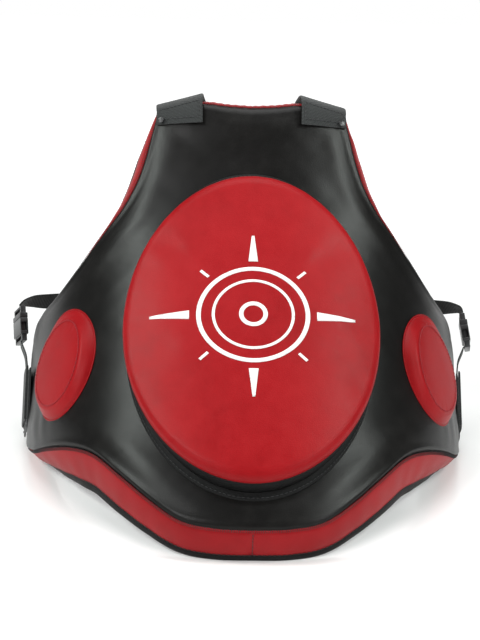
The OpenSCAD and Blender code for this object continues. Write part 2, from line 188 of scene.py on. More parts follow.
def weave(name, dark, light, sx=420.0, sy=330.0, rough=0.75, uv=True, twill=True, bumpd=0.00035, fuzz=0.15):
    """Webbing: warp ribs along the length (uv in metres), crossed by weft."""
    m = Mat(name, rough, 0.35)
    v = m.coord(uv=uv)
    sep = m.n("ShaderNodeSeparateXYZ")
    m.l(v, sep.inputs[0])
    x, y = sep.outputs[0], sep.outputs[1]
    a = m.mathn("SINE", m.mathn("MULTIPLY", m.mathn("ADD", x, m.mathn("MULTIPLY", y, 0.55 if twill else 0.0)), sx * 6.2832))
    b = m.mathn("SINE", m.mathn("MULTIPLY", y, sy * 6.2832))
    h = m.mathn("MULTIPLY", m.mathn("ADD", m.mathn("MULTIPLY", a, b), 1.0), 0.5)
    rib = m.mathn("ABSOLUTE", b)
    hh = m.mathn("ADD", m.mathn("MULTIPLY", h, 0.6), m.mathn("MULTIPLY", rib, 0.4))
    nz = m.noise(v, 900.0, 2.0)
    big = m.noise(v, 22.0, 3.0)
    f = m.mathn("ADD", m.mathn("MULTIPLY", hh, 0.65), m.mathn("MULTIPLY", m.mathn("ADD", nz, big), 0.2))
    col = m.ramp(f, [(0.25, dark), (0.8, light)])
    m.b.inputs["Sheen Weight"].default_value = fuzz
    m.b.inputs["Sheen Roughness"].default_value = 0.5
    return m.done(col, None, m.bump(hh, bumpd, 0.9, m.bump(nz, 0.0001, 0.5)))


def plastic(name, dark, light, r0=0.32, r1=0.48):
    m = Mat(name)
    v = m.coord()
    nz = m.noise(v, 1600.0, 2.0)
    big = m.noise(v, 60.0, 3.0)
    geo = m.n("ShaderNodeNewGeometry")
    edge = m.ramp(geo.outputs["Pointiness"], [(0.51, (0.0,)), (0.58, (1.0,))])
    col = m.mix(m.mathn("MULTIPLY", edge, 0.5), m.ramp(big, [(0.35, dark), (0.7, light)]), tuple(min(1, c * 2.2 + 0.02) for c in light))
    ro = m.n("ShaderNodeMapRange")
    m.l(big, ro.inputs[0])
    ro.inputs[3].default_value, ro.inputs[4].default_value = r0, r1
    return m.done(col, ro.outputs[0], m.bump(nz, 0.00006, 0.6))


def pile(name, dark, light, scale=1500.0, bumpd=0.0006):
    m = Mat(name, 0.9, 0.2)
    v = m.coord()
    nz = m.noise(v, scale, 4.0, 0.7)
    big = m.noise(v, 45.0, 3.0)
    f = m.mathn("ADD", m.mathn("MULTIPLY", nz, 0.7), m.mathn("MULTIPLY", big, 0.3))
    m.b.inputs["Sheen Weight"].default_value = 0.4
    m.b.inputs["Sheen Roughness"].default_value = 0.6
    return m.done(m.ramp(f, [(0.3, dark), (0.7, light)]), None, m.bump(nz, bumpd, 1.0))


def thread(name, col):
    m = Mat(name, 0.55, 0.4)
    v = m.coord()
    nz = m.noise(v, 2600.0, 2.0)
    return m.done(m.ramp(nz, [(0.3, tuple(c * 0.6 for c in col)), (0.7, col)]), None, m.bump(nz, 0.0001, 0.7))


def printed(name):
    m = Mat(name, 0.5, 0.4)
    v = m.coord()
    med = m.noise(v, 160.0, 5.0, 0.7)
    fine = m.noise(v, 1400.0, 2.0)
    col = m.ramp(med, [(0.30, (0.52, 0.50, 0.49)), (0.42, (0.74, 0.73, 0.72)), (0.7, (0.82, 0.81, 0.80))])
    return m.done(col, None, m.bump(fine, 0.00012, 0.7))


def metal(name):
    m = Mat(name, 0.35)
    v = m.coord()
    nz = m.noise(v, 400.0, 4.0)
    m.b.inputs["Metallic"].default_value = 1.0
    ro = m.n("ShaderNodeMapRange")
    m.l(nz, ro.inputs[0])
    ro.inputs[3].default_value, ro.inputs[4].default_value = 0.22, 0.5
    return m.done(m.ramp(nz, [(0.35, (0.02, 0.02, 0.02)), (0.7, (0.07, 0.07, 0.072))]), ro.outputs[0], m.bump(nz, 0.0001, 0.5))


M_BLACK = leather("black_leather", (0.0030, 0.0028, 0.0026), (0.0052, 0.0048, 0.0045), (0.011, 0.0104, 0.0097), 0.325, 0.355, 560.0, 0.0, bumpd=0.00006, spec=0.20, relief=0.03)
M_BIND = leather("binding_leather", (0.005, 0.005, 0.005), (0.009, 0.009, 0.009), (0.014, 0.014, 0.014), 0.42, 0.6, 760.0, 0.0, spec=0.14)
M_RED = leather("red_leather", (0.24, 0.0040, 0.006), (0.29, 0.0052, 0.008), (0.33, 0.008, 0.011), 0.34, 0.44, 600.0, 0.0, bumpd=0.00008, spec=0.13, relief=0.12)
M_LINING = weave("lining_fabric", (0.006, 0.006, 0.007), (0.022, 0.022, 0.025), 520.0, 520.0, 0.8, True, False, 0.00025)
M_WEB = weave("webbing_weave", (0.004, 0.0045, 0.0045), (0.018, 0.021, 0.021), 300.0, 330.0, 0.7, True, True, 0.0005)
M_ELASTIC = weave("elastic_ribs", (0.006, 0.006, 0.007), (0.035, 0.034, 0.036), 700.0, 240.0, 0.8, True, False, 0.0006)
M_PILE = pile("loop_pile", (0.006, 0.006, 0.006), (0.035, 0.034, 0.034))
M_HOOK = pile("hook_bed", (0.005, 0.005, 0.005), (0.05, 0.05, 0.05), 2400.0, 0.0004)
M_PLASTIC = plastic("black_moulding", (0.006, 0.006, 0.0065), (0.013, 0.013, 0.014))
M_GREY = plastic("grey_moulding", (0.012, 0.012, 0.013), (0.030, 0.031, 0.032), 0.28, 0.40)
M_THREAD = thread("black_thread", (0.035, 0.035, 0.037))
M_RTHREAD = thread("red_thread", (0.32, 0.02, 0.03))
M_PRINT = printed("white_print")
M_RIVET = metal("rivet_metal")

# ------------------------------------------------------------------ mesh helpers (mm in, metres out)
def make(name, verts, faces, mat, uv=None, smooth=True, fmat=None, sharp=None):
    me = bpy.data.meshes.new(name)
    v = np.asarray(verts, float) / 1000.0
    me.from_pydata([tuple(p) for p in v], [], [tuple(int(i) for i in f) for f in faces])
    mats = mat if isinstance(mat, (list, tuple)) else [mat]
    for m in mats:
        me.materials.append(m)
    if fmat is not None:
        me.polygons.foreach_set("material_index", np.asarray(fmat, np.int32))
    if uv is not None:
        lay = me.uv_layers.new(name="UVMap")
        li = np.zeros(len(me.loops), np.int32)
        me.loops.foreach_get("vertex_index", li)
        lay.data.foreach_set("uv", np.asarray(uv, float)[li].astype(np.float32).ravel())
    me.polygons.foreach_set("use_smooth", [smooth] * len(me.polygons))
    me.update()
    bm = bmesh.new()
    bm.from_mesh(me)
    bmesh.ops.recalc_face_normals(bm, faces=bm.faces)
    bm.to_mesh(me)
    bm.free()
    if sharp:
        me.set_sharp_from_angle(angle=R(sharp))
    ob = bpy.data.objects.new(name, me)
    bpy.context.scene.collection.objects.link(ob)
    return ob


def slab(name, top, bot, mat, uv=None, sub=0):
    nu, nv = top.shape[:2]
    n = nu * nv
    idx = np.arange(n).reshape(nu, nv)
    a, b, c, d = idx[:-1, :-1].ravel(), idx[1:, :-1].ravel(), idx[1:, 1:].ravel(), idx[:-1, 1:].ravel()
    F = list(zip(a, b, c, d)) + list(zip(n + a, n + d, n + c, n + b))
    loop = list(idx[:, 0]) + list(idx[-1, 1:]) + list(idx[-2::-1, -1]) + list(idx[0, -2:0:-1])
    for i in range(len(loop)):
        p, q2 = loop[i], loop[(i + 1) % len(loop)]
        F.append((p, q2, n + q2, n + p))
    V = np.vstack([top.reshape(-1, 3), bot.reshape(-1, 3)])
    U = None if uv is None else np.vstack([uv.reshape(-1, 2)] * 2)
    return make(name, V, F, mat, U)


def sweep(name, sec, mat, closed=False, uv=None, sharp=None, fmat=None):
    """sec: k sections of m ring points."""
    k, m = sec.shape[:2]
    F, FM = [], []
    for i in range(k if closed else k - 1):
        i2 = (i + 1) % k
        for a in range(m):
            b = (a + 1) % m
            F.append((i * m + a, i2 * m + a, i2 * m + b, i * m + b))
            FM.append(0 if fmat is None else fmat[a])
    if not closed:
        F.append(tuple(range(m)))
        F.append(tuple(range((k - 1) * m, k * m))[::-1])
        FM += [0, 0]
    U = None if uv is None else uv.reshape(-1, 2)
    return make(name, sec.reshape(-1, 3), F, mat, U, True, FM, sharp)


def unit(v):
    v = np.asarray(v, float)
    return v / np.maximum(np.linalg.norm(v, axis=-1, keepdims=True), 1e-12)


def path(k, s):
    """Catmull-Rom through the knots, s from 0 to 1 (array)."""
    k = np.asarray(k, float)
    n = len(k) - 1
    s = np.clip(np.atleast_1d(np.asarray(s, float)), 0, 0.99999) * n
    i = np.floor(s).astype(int)
    f = (s - i)[:, None]
    a, b, c, d = k[np.maximum(i - 1, 0)], k[i], k[i + 1], k[np.minimum(i + 2, n)]
    return 0.5 * (2 * b + (c - a) * f + (2 * a - 5 * b + 4 * c - d) * f * f + (3 * b - a - 3 * c + d) * f ** 3)


def worn(p):
    p = np.asarray(p, float)
    c, s = math.cos(R(LEAN)), math.sin(R(LEAN))
    return np.stack([p[..., 0], p[..., 1] * c + p[..., 2] * s - MID_Y, p[..., 2] * c - p[..., 1] * s + LIFT], -1)


def standing(p):
    return np.asarray(p, float) - np.array([0, MID_Y, 0])


def mirror(p, m):
    p = np.array(p, float)
    if m:
        p[..., 0] *= -1
    return p


def resample(p, step):
    """Even points along a polyline; returns points."""
    p = np.asarray(p, float)
    s = np.r_[0, np.cumsum(np.linalg.norm(np.diff(p, axis=0), axis=1))]
    n = max(int(s[-1] / step), 1)
    t = np.linspace(0, s[-1], n + 1)
    return np.stack([np.interp(t, s, p[:, i]) for i in range(p.shape[1])], 1)


def stitches(name, pts, nrm, mat, body="vest", length=3.4, pitch=5.0, rad=0.42, lift=0.25):
    """A row of lock stitches: short rounded threads that dip into the surface at each end."""
    pts, nrm = np.asarray(pts, float), np.asarray(nrm, float)
    both = resample(np.hstack([pts, unit(nrm)]), pitch)
    P, N = both[:, :3], unit(both[:, 3:])
    V, F = [], []
    for i in range(len(P) - 1):
        t = unit(P[i + 1] - P[i])
        n = unit(N[i] - t * (N[i] @ t))
        s = np.cross(t, n)
        c = (P[i] + P[i + 1]) / 2
        o = len(V)
        prof = [(-0.5, -0.8, 0.5), (-0.32, 0.2, 0.9), (0, 0.55, 1.0), (0.32, 0.2, 0.9), (0.5, -0.8, 0.5)]
        for (x, h, r) in prof:
            for a in range(6):
                an = a * math.pi / 3
                V.append(c + t * x * length + n * (lift + h * rad + r * rad * math.sin(an)) + s * r * rad * math.cos(an))
        for k in range(4):
            for a in range(6):
                b = (a + 1) % 6
                F.append((o + k * 6 + a, o + k * 6 + b, o + k * 6 + 6 + b, o + k * 6 + 6 + a))
        F.append(tuple(o + a for a in range(5, -1, -1)))
        F.append(tuple(o + 24 + a for a in range(6)))
    ob = make(name, V, F, mat)
    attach(ob, body)
    return ob


def threads(name, segs, mat, body="vest", rad=0.42):
    """Straight short threads, each (from, to, normal)."""
    V, F = [], []
    for (a0, b0, n) in segs:
        t = unit(b0 - a0)
        n = unit(n - t * (n @ t))
        s = np.cross(t, n)
        L = np.linalg.norm(b0 - a0)
        o = len(V)
        for (x, h, r) in [(0, -0.6, 0.5), (0.15, 0.2, 0.9), (0.5, 0.5, 1.0), (0.85, 0.2, 0.9), (1, -0.6, 0.5)]:
            for a in range(5):
                an = a * 2 * math.pi / 5
                V.append(a0 + t * x * L + n * (0.2 + h * rad + r * rad * math.sin(an)) + s * r * rad * math.cos(an))
        for k in range(4):
            for a in range(5):
                b = (a + 1) % 5
                F.append((o + k * 5 + a, o + k * 5 + b, o + k * 5 + 5 + b, o + k * 5 + 5 + a))
        F.append(tuple(o + a for a in range(4, -1, -1)))
        F.append(tuple(o + 20 + a for a in range(5)))
    ob = make(name, V, F, mat)
    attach(ob, body)
    return ob


def put(ob, body, slot, *nodes):
    if nodes:
        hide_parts(*nodes)
    if body:
        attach(ob, body)
    return ob


def puff(ob, pinned, pressure, cap, frames=20, tension=25.0, bend=1.5):
    """Cloth pressure on a closed pad: swells between its pinned seams; the move is capped."""
    sc = bpy.context.scene
    vg = ob.vertex_groups.new(name="pin")
    vg.add([int(i) for i in pinned], 1.0, "REPLACE")
    md = ob.modifiers.new("Cloth", "CLOTH")
    s = md.settings
    s.vertex_group_mass = "pin"
    s.quality = 6
    s.mass = 0.25
    s.tension_stiffness = s.compression_stiffness = tension
    s.shear_stiffness = tension * 0.6
    s.bending_stiffness = bend
    s.use_pressure = True
    s.uniform_pressure_force = pressure
    s.effector_weights.gravity = 0
    md.point_cache.frame_start, md.point_cache.frame_end = 1, frames
    co0 = np.array([v.co for v in ob.data.vertices])
    sc.frame_start, sc.frame_end = 1, frames
    for f in range(1, frames + 1):
        sc.frame_set(f)
    ev = ob.evaluated_get(bpy.context.evaluated_depsgraph_get())
    me = ev.to_mesh()
    co = np.array([v.co for v in me.vertices])
    ev.to_mesh_clear()
    ob.modifiers.remove(md)
    ob.vertex_groups.clear()
    sc.frame_set(1)
    d = co - co0
    L = np.linalg.norm(d, axis=1, keepdims=True)
    k = np.where(L > 1e-9, np.minimum(1.0, cap * np.tanh(L / cap) / np.maximum(L, 1e-9)), 1.0)
    co = co0 + np.nan_to_num(d) * k
    ob.data.vertices.foreach_set("co", co.astype(np.float32).ravel())
    ob.data.update()


def wob(p, f, seed=0.0):
    """Smooth repeatable unevenness from a few sines, about -1..1; p in mm, f in 1/mm."""
    x, y, z = p[..., 0] * f, p[..., 1] * f, p[..., 2] * f
    return (np.sin(x * 1.7 + 2.1 * np.sin(z * 0.8 + seed) + seed) + np.sin(z * 2.3 + 1.7 * np.sin(x * 1.1 + seed * 2) + 1.3)
            + np.sin((x + z) * 3.1 + y * 1.3 + seed * 3) * 0.6 + np.sin((x - z) * 4.7 + seed * 5) * 0.4) / 3.0

# ------------------------------------------------------------------ shell surface (worn frame)
def prof(z): return 0.275 * z - 0.000076 * z ** 2 - 0.0000005 * z ** 3
def dprof(z): return 0.275 - 0.000152 * z - 0.0000015 * z ** 2
def surf(t, z):
    t, z = np.asarray(t, float), np.asarray(z, float)
    return np.stack([HALF_W * np.sin(R(t)), prof(z) + DEPTH * np.maximum(1 - np.cos(R(t)), 0) ** 1.2, z + 0 * t], -1)
def nrmw(t, z):
    t, z = np.asarray(t, float), np.asarray(z, float)
    a = HALF_W * np.cos(R(t))
    b = DEPTH * 1.2 * np.maximum(1 - np.cos(R(t)), 1e-9) ** 0.2 * np.sin(R(t))
    return unit(np.stack([b, -a, a * dprof(z)], -1))

HEM = [[0, 0], [8, 1.5], [16, 9], [23.5, 30], [31, 55], [39, 79], [47.5, 90], [58, 95], [67, 98], [74.5, 107]]
SIDE = [[74.5, 107], [79.5, 124], [81.5, 150], [81.5, 185], [80.5, 222], [76, 241], [67, 250], [58, 258],
        [50.5, 273], [44, 293], [37.5, 317], [33, 336], [29.3, 360], [27, 385], [25.5, 408], [24, 430]]
TOP = [[0, 435], [6, 436.5], [12, 439.5], [18, 436], [24, 430]]
FLARE = [[0, 16], [1, 17], [2, 19], [3, 24], [4, 30], [5, 34], [6, 33], [7, 24], [8, 13], [9, 5.5]]
NU, NV = 180, 80
U = np.linspace(-1, 1, NU + 1)
V_ = np.linspace(0, 1, NV + 1)
hemc = path(HEM, abs(U)) * np.stack([np.sign(U), np.ones_like(U)], 1)
topc = path(TOP, abs(U)) * np.stack([np.sign(U), np.ones_like(U)], 1)
rgt = path(SIDE, V_)
lft = rgt * [-1, 1]
Uc = ((U + 1) / 2)[:, None, None]
Vc = V_[None, :, None]
TZ = ((1 - Vc) * hemc[:, None] + Vc * topc[:, None] + (1 - Uc) * lft[None] + Uc * rgt[None]
      - (1 - Uc) * (1 - Vc) * hemc[0] - Uc * (1 - Vc) * hemc[-1] - (1 - Uc) * Vc * topc[0] - Uc * Vc * topc[-1])
P0 = surf(TZ[..., 0], TZ[..., 1])
N0 = nrmw(TZ[..., 0], TZ[..., 1])
TK = PAD_MID - (PAD_MID - PAD_WING) * (abs(TZ[..., 0]) / 82) ** 1.5


def outw(e, t, n):
    e1 = e - n * (e * n).sum(-1, keepdims=True)
    tt = unit(t)
    return unit(e1 - tt * (e1 * tt).sum(-1, keepdims=True))

def tang(p):
    return np.vstack([p[1] - p[0], p[2:] - p[:-2], p[-1] - p[-2]])

OH = outw(P0[:, 0] - P0[:, 2], tang(P0[:, 0]), N0[:, 0])
OT = outw(P0[:, -1] - P0[:, -3], tang(P0[:, -1]), N0[:, -1])
OR = outw(P0[-1] - P0[-3], tang(P0[-1]), N0[-1])
OL = outw(P0[0] - P0[2], tang(P0[0]), N0[0])
ci = np.arange(NU + 1) * 36 / NU
cj = np.arange(NV + 1) * 16 / NV
wt = lambda c: np.interp(c, [0, 1, 2, 3], [1, 0.4, 0.1, 0])
flare = np.interp(abs(U) * 9, range(10), [f[1] for f in FLARE])
flare = path(FLARE, abs(U))[:, 1]
sfl = np.interp(cj, range(17), [6.3, 7, 7.7, 8.4, 9, 9, 9, 11, 16, 21.5, 26, 28.5, 29.5, 28, 25, 18.5, 11])
corner = np.maximum(0, 1 - np.minimum(ci, 36 - ci))[:, None] * np.maximum(0, 1 - np.minimum(cj, 16 - cj))[None]
soft = (1 - 0.28 * corner)[..., None]
WJ, WT2 = wt(cj)[None, :, None], wt(16 - cj)[None, :, None]
WR, WL = wt(36 - ci)[:, None, None], wt(ci)[:, None, None]
DE = soft * (WJ * (flare[:, None] * OH)[:, None] + WT2 * 8 * OT[:, None] + (WR * OR[None] + WL * OL[None]) * sfl[None, :, None])
DU = soft * (WJ * OH[:, None] + WT2 * OT[:, None] + WR * OR[None] + WL * OL[None])


def q(ij, f, dm, g):
    i, j = ij
    tk = TK[i, j][..., None]
    return P0[i, j] - N0[i, j] * (f * tk + dm) + DE[i, j] * (f + dm / tk) - DU[i, j] * g

GI, GJ = np.meshgrid(range(NU + 1), range(NV + 1), indexing="ij")
ALL = (GI, GJ)
loop_i = list(range(0, NU)) + [NU] * NV + list(range(NU, 0, -1)) + [0] * NV
loop_j = [0] * NU + list(range(0, NV)) + [NV] * NU + list(range(NV, 0, -1))
LOOP = (np.array(loop_i), np.array(loop_j))
border = P0[LOOP]
flatp = P0.reshape(-1, 3)
dist = np.full(len(flatp), 1e9)
for k in range(0, len(border), 40):
    dd = np.linalg.norm(flatp[:, None] - border[None, k:k + 40], axis=2).min(1)
    dist = np.minimum(dist, dd)
dist = dist.reshape(P0.shape[:2])
RE = 3.2                                   # rolled edge of the leather where it meets the red band
edge_drop = np.where(dist < RE, RE - np.sqrt(np.maximum(RE ** 2 - (RE - np.minimum(dist, RE)) ** 2, 0)), 0)
wrk = 0.7 * wob(P0, 0.018, 0.4) + 0.30 * wob(P0, 0.06, 2.0)
side_fold = np.exp(-((abs(P0[..., 0]) - 214) / 16) ** 2) * np.sin(P0[..., 0] * 0.55 + 0.02 * TZ[..., 1]) * np.exp(-((TZ[..., 1] - 130) / 24) ** 2) * 0.45
seam_pull = -0.35 * np.exp(-((dist - 7) / 3) ** 2)       # slight channel inside the rolled edge
seam_ruf = 0.16 * np.sin(np.arctan2(P0[..., 0], P0[..., 2] - 200) * 150) * np.exp(-dist / 9)
off = -edge_drop + np.minimum(dist / 30, 1) * wrk + side_fold + seam_pull + seam_ruf
# a puffed leather edge: the cover swells a little before it turns down to the band
swell = 1.2 * np.exp(-((dist - 22) / 12) ** 2)
off = off + swell
top = worn(q(ALL, 0, 0, 0) + N0 * off[..., None])
bot = worn(q(ALL, 0, 2.0, 0.6) + N0 * np.minimum(off, 0)[..., None])
uvg = np.stack([HALF_W * R(TZ[..., 0]), TZ[..., 1]], -1) / 1000
front = slab("shell_leather", top, bot, M_BLACK, uvg)
put(front, "vest", "black_leather", "front_cover", "outer_foam", "inner_foam")
ltop = worn(q(ALL, 1, -2.0, 2.4))
quilt = 0.9 * wob(P0, 0.035, 3.0)
lbot = worn(q(ALL, 1, 0.0, 2.4) + N0 * (np.minimum(dist / 25, 1) * (quilt + 0.9))[..., None])
put(slab("shell_lining", ltop, lbot, M_LINING, uvg), "vest", "lining", "back_lining")

# red band round the whole edge, one closed loop, bulging between its two seams
A = q(LOOP, 0, RE, 0)
Bk = q(LOOP, 1, -4.4, 0)
E = unit(DU[LOOP])
NN = N0[LOOP]
m_ = 13
sec = []
cseam = 1 - 0.55 * np.exp(-(A[:, 0] / 2.2) ** 2) * (LOOP[1] == 0)
pucker = 1 + 0.10 * np.sin(np.arange(len(A)) * 2 * np.pi / 7.0)
for k in range(m_):
    t = k / (m_ - 1)
    sec.append(A + (Bk - A) * t + E * ((2.6 * np.sin(np.pi * t) ** 0.6) * cseam * pucker)[:, None])
for k in range(m_ - 1, -1, -3):
    t = k / (m_ - 1)
    sec.append(A + (Bk - A) * t - E * 2.0)
sec = worn(np.stack(sec, 1))
alen = np.r_[0, np.cumsum(np.linalg.norm(np.diff(A, axis=0), axis=1))]
uvb = np.stack([np.repeat(alen[:, None], sec.shape[1], 1), np.repeat(np.arange(sec.shape[1])[None] * 3.0, len(A), 0)], -1) / 1000
put(sweep("edge_band_red", sec, M_RED, True, uvb), "vest", "red_leather", "hem_gusset", "armhole_gusset_left", "armhole_gusset_right", "neck_gusset")
# black binding folded over the rear edge
prof_b = [(1, -5.4, 0, 0.2), (1, -5.0, 0, 1.2), (1, -3.0, 0, 1.6), (1, -1.2, 0, 1.5), (1, 0.1, 0, 0.9), (1, 0.45, 0, -0.6),
          (1, 0.3, 4, 0), (1, 0.3, 8, 0), (1, 0.0, 9.4, 0), (1, -1.2, 9.4, 0), (1, -1.2, 2.2, 0), (1, -5.4, 1.2, 0)]
secb = worn(np.stack([q(LOOP, f, d, g) + E * e for f, d, g, e in prof_b], 1))
uvb2 = np.stack([np.repeat(alen[:, None], 12, 1), np.repeat(np.arange(12)[None] * 2.0, len(A), 0)], -1) / 1000
put(sweep("edge_binding", secb, M_BIND, True, uvb2), "vest", "black_leather", "hem_binding", "armhole_binding_left", "armhole_binding_right", "neck_binding")

# seam threads: zigzag where the leather meets the band, lock stitch on the binding, centre seam of the band
def loop_pts(f, dm, e, off_n=0.0):
    return worn(q(LOOP, f, dm, 0) + E * e + NN * off_n)
za = np.vstack([loop_pts(0, 1.5, -0.7), loop_pts(0, 1.5, -0.7)[:1]])
zb = np.vstack([loop_pts(0, RE + 0.2, 0.9), loop_pts(0, RE + 0.2, 0.9)[:1]])
zn = worn(E) - worn(np.zeros(3))
zn = np.vstack([zn, zn[:1]])
zm = worn(unit(E + NN)) - worn(np.zeros(3))
zm = np.vstack([zm, zm[:1]])
rs = resample(np.hstack([za, zb, zm]), 2.9)
segs = [(rs[k][:3], rs[k][3:6], rs[k][6:]) for k in range(len(rs) - 1)]
threads("band_overlock", segs, M_THREAD, rad=0.32)
zc = loop_pts(1, -6.6, 1.6)
stitches("binding_stitch", np.vstack([zc, zc[:1]]), zn, M_THREAD, pitch=4.6, length=3.2, lift=-0.1)
mid_i = NU // 2
csp = worn(np.stack([A[mid_i] + (Bk[mid_i] - A[mid_i]) * t + E[mid_i] * 1.1 * np.sin(np.pi * t) ** 0.6 for t in np.linspace(0.06, 0.94, 12)]))
stitches("band_centre_seam", csp, np.repeat(zn[mid_i][None], 12, 0), M_THREAD, pitch=3.4, length=2.8)

# ------------------------------------------------------------------ chest pad
def cp(r, th, h):
    x = r * CA * np.sin(th)
    z = CZ + r * CB * np.cos(th)
    t = np.degrees(np.arcsin(np.clip(x / HALF_W, -1, 1)))
    return surf(t, z) + nrmw(t, z) * np.asarray(h)[..., None]


def disc_mesh(name, rings, mats, fmats, centre_top, centre_bot, uv=False):
    """rings: list of (n,3) from the middle of the top, over the rim, to the middle of the underside."""
    n = len(rings[0])
    Vv = np.vstack([centre_top[None], centre_bot[None]] + rings)
    F, FM = [], []
    for k in range(n):
        F.append((0, 2 + k, 2 + (k + 1) % n)); FM.append(fmats[0])
    for r in range(len(rings) - 1):
        a, b = 2 + r * n, 2 + (r + 1) * n
        for k in range(n):
            k2 = (k + 1) % n
            F.append((a + k, b + k, b + k2, a + k2)); FM.append(fmats[r + 1])
    e = 2 + (len(rings) - 1) * n
    for k in range(n):
        F.append((1, e + (k + 1) % n, e + k)); FM.append(fmats[-1])
    return make(name, Vv, F, mats, None, True, FM)

NP = 160
TH = np.linspace(0, 2 * np.pi, NP, endpoint=False)
puck = 0.35 * np.sin(TH * 46) + 0.2 * np.sin(TH * 31 + 1)
radii = list(np.linspace(0.05, 0.80, 16)) + [0.84, 0.88, 0.91, 0.935]
rings, fm = [], [0]
for r in radii:
    h = CH + CROWN * (1 - r ** 2) + 0.35 * wob(np.stack([r * 100 * np.sin(TH), 0 * TH, r * 140 * np.cos(TH)], -1), 0.03, 1.0) * (r < 0.9)
    rings.append(cp(r, TH, h)); fm.append(0)
re_ = 8.5                                   # soft rounded rim
for a in np.linspace(0.15, 1.0, 7):
    an = a * np.pi / 2
    r = 0.985 - re_ / 139 * (1 - np.sin(an))
    rings.append(cp(r, TH, CH + CROWN * (1 - r ** 2) - re_ * (1 - np.cos(an)) + puck * (a > 0.7) * 0.5)); fm.append(0)
seam_ring = len(rings) - 1
rings.append(cp(0.980, TH, CH - re_ - 1.6 + 0 * TH)); fm.append(1)     # seam groove
for h, r in ((CH - re_ - 3.0, 0.986), (13.0, 0.994), (9.0, 0.998), (5.0, 0.999), (1.6, 0.992), (0.4, 0.975)):
    rings.append(cp(r, TH, h + 0 * TH)); fm.append(1)
base_ring = len(rings) - 1
for r in (0.7, 0.35):
    rings.append(cp(r, TH, 0.4 + 0 * TH)); fm.append(1)
fm.append(1)
RW = [worn(x) for x in rings]
pad = disc_mesh("chest_pad_cushion", RW, [M_RED, M_BIND], fm, worn(cp(np.array(0.0), 0.0, np.array(CH + CROWN))), worn(cp(np.array(0.0), 0.0, np.array(0.4))))
pins = [1] + [2 + r * NP + k for r in (seam_ring, seam_ring + 1) for k in range(NP)] + [2 + r * NP + k for r in range(base_ring, len(rings)) for k in range(NP)]
puff(pad, pins, 2.0, 0.0013, 20, 40.0, 5.0)
co = np.array([v.co for v in pad.data.vertices]) * 1000
RW = [co[2 + r * NP:2 + (r + 1) * NP] for r in range(len(rings))]
put(pad, "vest", "red_leather", "chest_pad_face", "chest_pad_foam", "chest_pad_sidewall")
# flange round the foot, with its stitching, and the piping cord in the seam
fl = [worn(cp(r, TH, h + 0.12 * np.sin(TH * 60))) for r, h in ((0.990, 2.6), (1.0, 2.4), (1.012, 2.0), (1.03, 1.9), (1.043, 1.6), (1.047, 0.9), (1.043, -0.3), (0.990, -0.3))]
put(sweep("chest_pad_flange_leather", np.stack(fl, 1), M_BIND, True), "vest", "black_leather", "chest_pad_flange")
stp = worn(cp(np.array(1.03), np.append(TH, TH[0]), np.full(NP + 1, 2.0)))
nn = worn(cp(np.array(1.03), np.append(TH, TH[0]), np.full(NP + 1, 3.0))) - worn(cp(np.array(1.03), np.append(TH, TH[0]), np.full(NP + 1, 2.0)))
stitches("chest_pad_flange_stitch", stp, nn, M_THREAD, pitch=4.4, length=3.2)
def cord_ring(name, ring, rad, mat, slot):
    c = ring.mean(0)
    t = unit(np.roll(ring, -1, 0) - np.roll(ring, 1, 0))
    o = ring - c
    o = unit(o - t * (o * t).sum(1, keepdims=True))
    b = np.cross(t, o)
    s = np.stack([ring + o * rad * math.cos(a) + b * rad * math.sin(a) for a in np.linspace(0, 2 * np.pi, 8, endpoint=False)], 1)
    return put(sweep(name, s, mat, True), "vest", slot)
cord_ring("chest_pad_piping", RW[seam_ring + 1] * 0.6 + RW[seam_ring] * 0.4, 1.25, M_BIND, "black_leather")

# top surface of the pad as a function, for the print
top_r = np.r_[0, radii[:]]
top_h = np.stack([np.zeros((NP, 3)) + co[0]] + RW[:len(radii)], 0)
def on_pad(x, z):
    """Point and normal on the pad's face for plan offsets x, z in mm from its middle."""
    x, z = np.asarray(x, float), np.asarray(z, float)
    def at(x, z):
        th = np.arctan2(x / CA, z / CB) % (2 * np.pi)
        rr = np.hypot(x / CA, z / CB)
        f = th / (2 * np.pi) * NP
        i = np.floor(f).astype(int) % NP
        fr = (f - np.floor(f))[..., None]
        k = np.clip(np.searchsorted(top_r, rr, side="right") - 1, 0, len(top_r) - 2)
        g = ((rr - top_r[k]) / (top_r[k + 1] - top_r[k]))[..., None]
        a = top_h[k, i] * (1 - fr) + top_h[k, (i + 1) % NP] * fr
        b = top_h[k + 1, i] * (1 - fr) + top_h[k + 1, (i + 1) % NP] * fr
        return a * (1 - g) + b * g
    p = at(x, z)
    du, dv = at(x + 3, z) - at(x - 3, z), at(x, z + 3) - at(x, z - 3)
    n = unit(np.cross(du, dv))
    return p, n

def printed_band(name, inner, outer, closed):
    """Thin printed shape between two plan outlines with the same number of points."""
    k = 5
    rows = [inner + (outer - inner) * t for t in np.linspace(0, 1, k)]
    tops, bots = [], []
    for r in rows:
        p, n = on_pad(r[:, 0], r[:, 1])
        tops.append(p + n * 0.42)
        bots.append(p - n * 0.5)
    s = np.stack(tops + bots[::-1], 1)
    return put(sweep(name, s, M_PRINT, closed), "vest", "red_leather")

